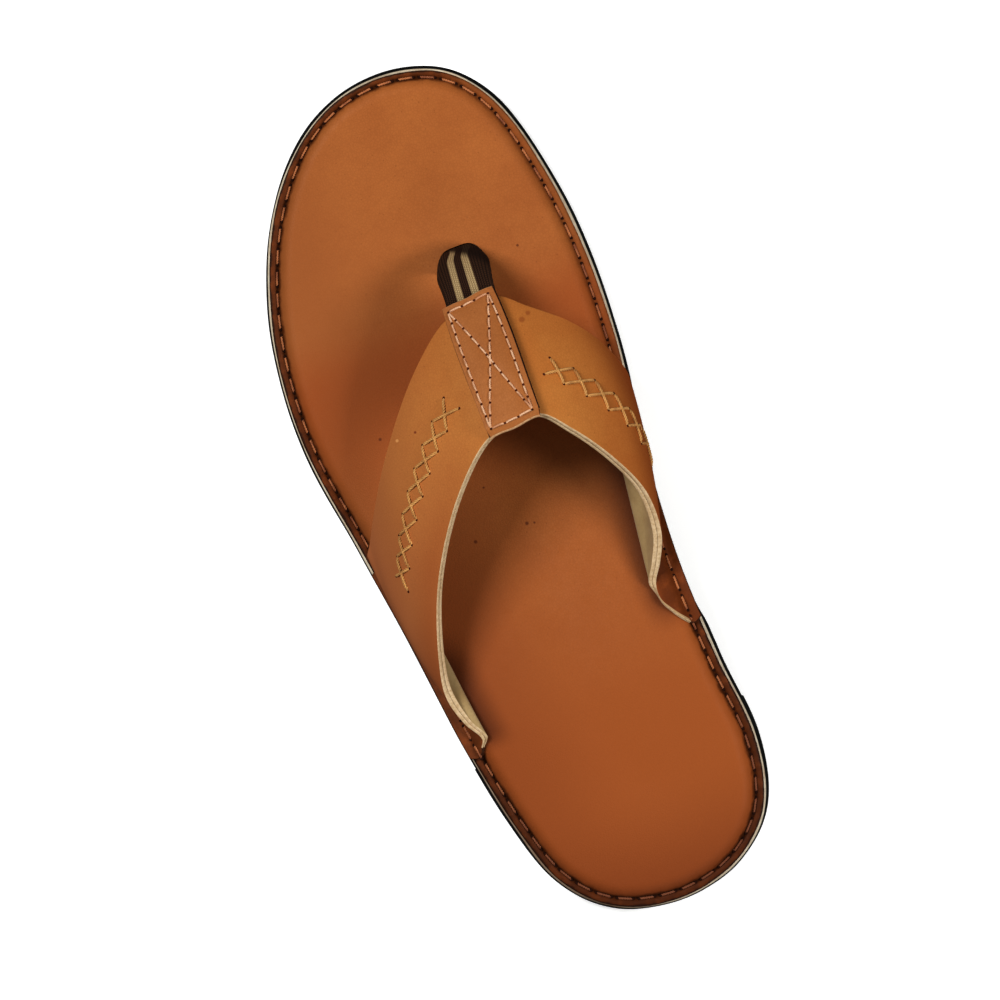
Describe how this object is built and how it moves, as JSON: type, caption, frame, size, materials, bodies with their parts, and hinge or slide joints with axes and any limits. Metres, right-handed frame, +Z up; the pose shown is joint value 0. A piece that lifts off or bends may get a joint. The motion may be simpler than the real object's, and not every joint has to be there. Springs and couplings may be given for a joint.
{
  "type": "leather thong slipper",
  "caption": "Open leather slipper for the left foot: padded footbed with sewn rim, V-shaped strap, webbing toe loop under a tab, rubber sole with low heel.",
  "frame": {"origin": "middle of the footprint's bounding box, on the floor", "axes": "+Z up, +Y from heel to toe, +X towards the big-toe side of the left foot"},
  "size_m": [0.111, 0.2862, 0.0644],
  "materials": {
    "heel_rubber": "matt black moulded rubber",
    "outsole_rubber": "matt black moulded rubber",
    "board": "raw cut edge, pale cream",
    "footbed_leather": "smooth waxed tan leather, fine grain",
    "strap_leather": "smooth waxed tan leather, fine grain",
    "tab_leather": "smooth waxed tan leather, fine grain",
    "lining": "matt cream lining with raw edges",
    "webbing": "ribbed webbing, two pale stripes",
    "rim_thread": "waxed dark brown thread",
    "tab_thread": "pale thread",
    "cross_thread": "golden yellow thread"
  },
  "bodies": {
    "root": {"heel": "heel_rubber", "outsole": "outsole_rubber", "midsole": "board", "footbed": "footbed_leather", "strap": "strap_leather", "tab": "tab_leather", "toe_loop": "webbing"}
  },
  "joints": []
}
